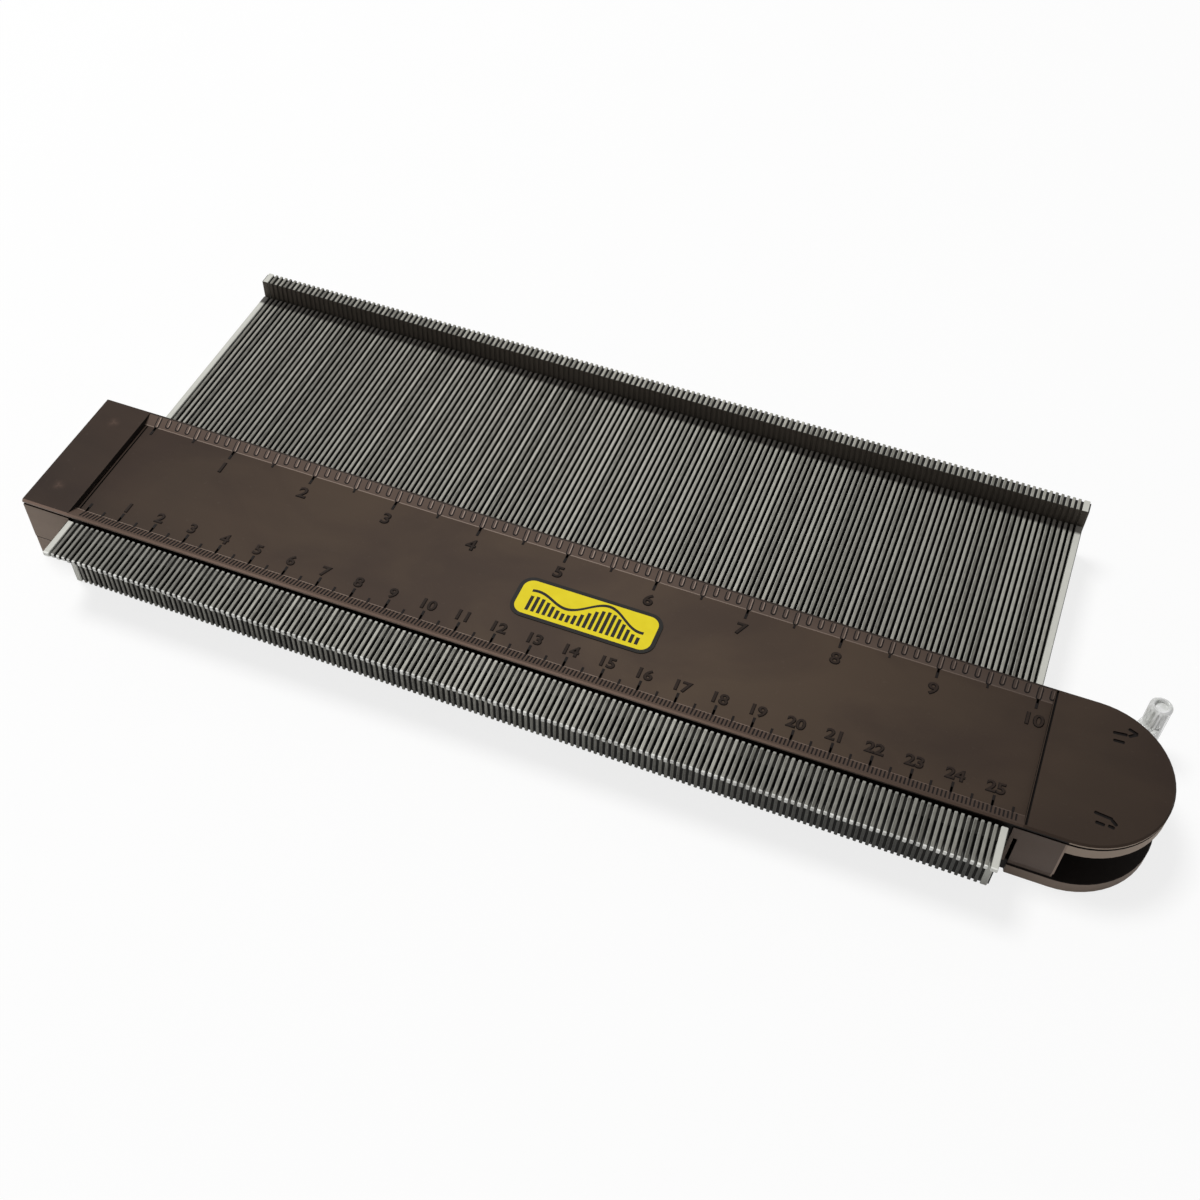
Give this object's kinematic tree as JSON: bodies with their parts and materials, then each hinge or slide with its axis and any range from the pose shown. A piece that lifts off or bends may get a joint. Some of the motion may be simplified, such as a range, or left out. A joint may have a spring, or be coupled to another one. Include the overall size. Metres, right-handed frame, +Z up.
{
  "type": "contour gauge",
  "caption": "Long two-shell contour gauge: thin pins slide through the body to copy a profile, a lever at the round end clamps them, and a ruled tray runs along the top.",
  "frame": {"origin": "middle of the body's length and width, on the flat underside of the lower shell that rests on the table", "axes": "+X along the rule towards the round clamp end, +Y towards the long tails of the pins, +Z up through the ruled face"},
  "size_m": [0.308, 0.124, 0.022],
  "materials": {
    "shell": "dark brown moulded plastic, satin",
    "pin": "grey moulded plastic, satin",
    "screw": "zinc plated",
    "lever": "clear moulded plastic, glossy",
    "label": "printed film"
  },
  "bodies": {
    "housing": {"upper_shell": "shell", "lower_shell": "shell", "shell_screws": "screw", "lever_pivot": "screw", "label_plate": "label"},
    "lever": {"clamp_lever": "lever"},
    "shoe": {"clamp_shoe": "shell"},
    "slider_01": {"pins_01": "pin"},
    "slider_02": {"pins_02": "pin"},
    "slider_03": {"pins_03": "pin"},
    "slider_04": {"pins_04": "pin"},
    "slider_05": {"pins_05": "pin"},
    "slider_06": {"pins_06": "pin"},
    "slider_07": {"pins_07": "pin"},
    "slider_08": {"pins_08": "pin"},
    "slider_09": {"pins_09": "pin"},
    "slider_10": {"pins_10": "pin"},
    "slider_11": {"pins_11": "pin"},
    "slider_12": {"pins_12": "pin"},
    "slider_13": {"pins_13": "pin"},
    "slider_14": {"pins_14": "pin"},
    "slider_15": {"pins_15": "pin"},
    "slider_16": {"pins_16": "pin"},
    "slider_17": {"pins_17": "pin"},
    "slider_18": {"pins_18": "pin"},
    "slider_19": {"pins_19": "pin"},
    "slider_20": {"pins_20": "pin"},
    "slider_21": {"pins_21": "pin"},
    "slider_22": {"pins_22": "pin"},
    "slider_23": {"pins_23": "pin"},
    "slider_24": {"pins_24": "pin"},
    "slider_25": {"pins_25": "pin"},
    "slider_26": {"pins_26": "pin"},
    "slider_27": {"pins_27": "pin"},
    "slider_28": {"pins_28": "pin"},
    "slider_29": {"pins_29": "pin"},
    "slider_30": {"pins_30": "pin"},
    "slider_31": {"pins_31": "pin"},
    "slider_32": {"pins_32": "pin"},
    "slider_33": {"pins_33": "pin"},
    "slider_34": {"pins_34": "pin"},
    "slider_35": {"pins_35": "pin"},
    "slider_36": {"pins_36": "pin"},
    "slider_37": {"pins_37": "pin"},
    "slider_38": {"pins_38": "pin"},
    "slider_39": {"pins_39": "pin"},
    "slider_40": {"pins_40": "pin"}
  },
  "joints": [
    {"name": "clamp_lever_turn", "type": "hinge", "parent": "housing", "child": "lever", "pos_m": [0.1325, 0, 0.01], "axis": [0, 0, 1], "range_deg": [-124, 0]},
    {"name": "clamp_shoe_slide", "type": "slide", "parent": "housing", "child": "shoe", "axis": [1, 0, 0], "range_m": [-0.00056, 0]},
    {"name": "pin_slide_01", "type": "slide", "parent": "housing", "child": "slider_01", "axis": [0, -1, 0], "range_m": [-0.0013, 0.063]},
    {"name": "pin_slide_02", "type": "slide", "parent": "housing", "child": "slider_02", "axis": [0, -1, 0], "range_m": [-0.0013, 0.063]},
    {"name": "pin_slide_03", "type": "slide", "parent": "housing", "child": "slider_03", "axis": [0, -1, 0], "range_m": [-0.0013, 0.063]},
    {"name": "pin_slide_04", "type": "slide", "parent": "housing", "child": "slider_04", "axis": [0, -1, 0], "range_m": [-0.0013, 0.063]},
    {"name": "pin_slide_05", "type": "slide", "parent": "housing", "child": "slider_05", "axis": [0, -1, 0], "range_m": [-0.0013, 0.063]},
    {"name": "pin_slide_06", "type": "slide", "parent": "housing", "child": "slider_06", "axis": [0, -1, 0], "range_m": [-0.0013, 0.063]},
    {"name": "pin_slide_07", "type": "slide", "parent": "housing", "child": "slider_07", "axis": [0, -1, 0], "range_m": [-0.0013, 0.063]},
    {"name": "pin_slide_08", "type": "slide", "parent": "housing", "child": "slider_08", "axis": [0, -1, 0], "range_m": [-0.0013, 0.063]},
    {"name": "pin_slide_09", "type": "slide", "parent": "housing", "child": "slider_09", "axis": [0, -1, 0], "range_m": [-0.0013, 0.063]},
    {"name": "pin_slide_10", "type": "slide", "parent": "housing", "child": "slider_10", "axis": [0, -1, 0], "range_m": [-0.0013, 0.063]},
    {"name": "pin_slide_11", "type": "slide", "parent": "housing", "child": "slider_11", "axis": [0, -1, 0], "range_m": [-0.0013, 0.063]},
    {"name": "pin_slide_12", "type": "slide", "parent": "housing", "child": "slider_12", "axis": [0, -1, 0], "range_m": [-0.0013, 0.063]},
    {"name": "pin_slide_13", "type": "slide", "parent": "housing", "child": "slider_13", "axis": [0, -1, 0], "range_m": [-0.0013, 0.063]},
    {"name": "pin_slide_14", "type": "slide", "parent": "housing", "child": "slider_14", "axis": [0, -1, 0], "range_m": [-0.0013, 0.063]},
    {"name": "pin_slide_15", "type": "slide", "parent": "housing", "child": "slider_15", "axis": [0, -1, 0], "range_m": [-0.0013, 0.063]},
    {"name": "pin_slide_16", "type": "slide", "parent": "housing", "child": "slider_16", "axis": [0, -1, 0], "range_m": [-0.0013, 0.063]},
    {"name": "pin_slide_17", "type": "slide", "parent": "housing", "child": "slider_17", "axis": [0, -1, 0], "range_m": [-0.0013, 0.063]},
    {"name": "pin_slide_18", "type": "slide", "parent": "housing", "child": "slider_18", "axis": [0, -1, 0], "range_m": [-0.0013, 0.063]},
    {"name": "pin_slide_19", "type": "slide", "parent": "housing", "child": "slider_19", "axis": [0, -1, 0], "range_m": [-0.0013, 0.063]},
    {"name": "pin_slide_20", "type": "slide", "parent": "housing", "child": "slider_20", "axis": [0, -1, 0], "range_m": [-0.0013, 0.063]},
    {"name": "pin_slide_21", "type": "slide", "parent": "housing", "child": "slider_21", "axis": [0, -1, 0], "range_m": [-0.0013, 0.063]},
    {"name": "pin_slide_22", "type": "slide", "parent": "housing", "child": "slider_22", "axis": [0, -1, 0], "range_m": [-0.0013, 0.063]},
    {"name": "pin_slide_23", "type": "slide", "parent": "housing", "child": "slider_23", "axis": [0, -1, 0], "range_m": [-0.0013, 0.063]},
    {"name": "pin_slide_24", "type": "slide", "parent": "housing", "child": "slider_24", "axis": [0, -1, 0], "range_m": [-0.0013, 0.063]},
    {"name": "pin_slide_25", "type": "slide", "parent": "housing", "child": "slider_25", "axis": [0, -1, 0], "range_m": [-0.0013, 0.063]},
    {"name": "pin_slide_26", "type": "slide", "parent": "housing", "child": "slider_26", "axis": [0, -1, 0], "range_m": [-0.0013, 0.063]},
    {"name": "pin_slide_27", "type": "slide", "parent": "housing", "child": "slider_27", "axis": [0, -1, 0], "range_m": [-0.0013, 0.063]},
    {"name": "pin_slide_28", "type": "slide", "parent": "housing", "child": "slider_28", "axis": [0, -1, 0], "range_m": [-0.0013, 0.063]},
    {"name": "pin_slide_29", "type": "slide", "parent": "housing", "child": "slider_29", "axis": [0, -1, 0], "range_m": [-0.0013, 0.063]},
    {"name": "pin_slide_30", "type": "slide", "parent": "housing", "child": "slider_30", "axis": [0, -1, 0], "range_m": [-0.0013, 0.063]},
    {"name": "pin_slide_31", "type": "slide", "parent": "housing", "child": "slider_31", "axis": [0, -1, 0], "range_m": [-0.0013, 0.063]},
    {"name": "pin_slide_32", "type": "slide", "parent": "housing", "child": "slider_32", "axis": [0, -1, 0], "range_m": [-0.0013, 0.063]},
    {"name": "pin_slide_33", "type": "slide", "parent": "housing", "child": "slider_33", "axis": [0, -1, 0], "range_m": [-0.0013, 0.063]},
    {"name": "pin_slide_34", "type": "slide", "parent": "housing", "child": "slider_34", "axis": [0, -1, 0], "range_m": [-0.0013, 0.063]},
    {"name": "pin_slide_35", "type": "slide", "parent": "housing", "child": "slider_35", "axis": [0, -1, 0], "range_m": [-0.0013, 0.063]},
    {"name": "pin_slide_36", "type": "slide", "parent": "housing", "child": "slider_36", "axis": [0, -1, 0], "range_m": [-0.0013, 0.063]},
    {"name": "pin_slide_37", "type": "slide", "parent": "housing", "child": "slider_37", "axis": [0, -1, 0], "range_m": [-0.0013, 0.063]},
    {"name": "pin_slide_38", "type": "slide", "parent": "housing", "child": "slider_38", "axis": [0, -1, 0], "range_m": [-0.0013, 0.063]},
    {"name": "pin_slide_39", "type": "slide", "parent": "housing", "child": "slider_39", "axis": [0, -1, 0], "range_m": [-0.0013, 0.063]},
    {"name": "pin_slide_40", "type": "slide", "parent": "housing", "child": "slider_40", "axis": [0, -1, 0], "range_m": [-0.0013, 0.063]}
  ],
  "couplings": [
    {"joint": "clamp_shoe_slide", "follows": "clamp_lever_turn", "m_per_rad": 0.000254}
  ]
}
